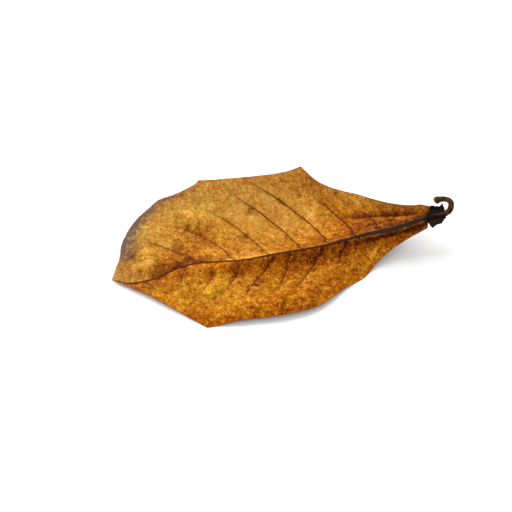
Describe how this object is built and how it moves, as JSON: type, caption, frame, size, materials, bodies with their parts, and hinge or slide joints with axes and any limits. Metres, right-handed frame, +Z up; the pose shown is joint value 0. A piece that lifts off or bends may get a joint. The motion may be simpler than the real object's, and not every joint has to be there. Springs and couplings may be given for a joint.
{
  "type": "dry indian almond leaf",
  "caption": "Dry, curled indian almond leaf with a cusped margin, raised midrib and side veins, torn base and hooked stalk, lying on a surface.",
  "frame": {"origin": "on the surface the leaf lies on, under the middle of its box", "axes": "+X along the leaf from its tip to its stalk, +Y across it towards the half that curls up, +Z up"},
  "size_m": [0.2014, 0.1004, 0.0313],
  "materials": {
    "dried_leaf": "satin"
  },
  "bodies": {
    "root": {"leaf": "dried_leaf"}
  },
  "joints": []
}
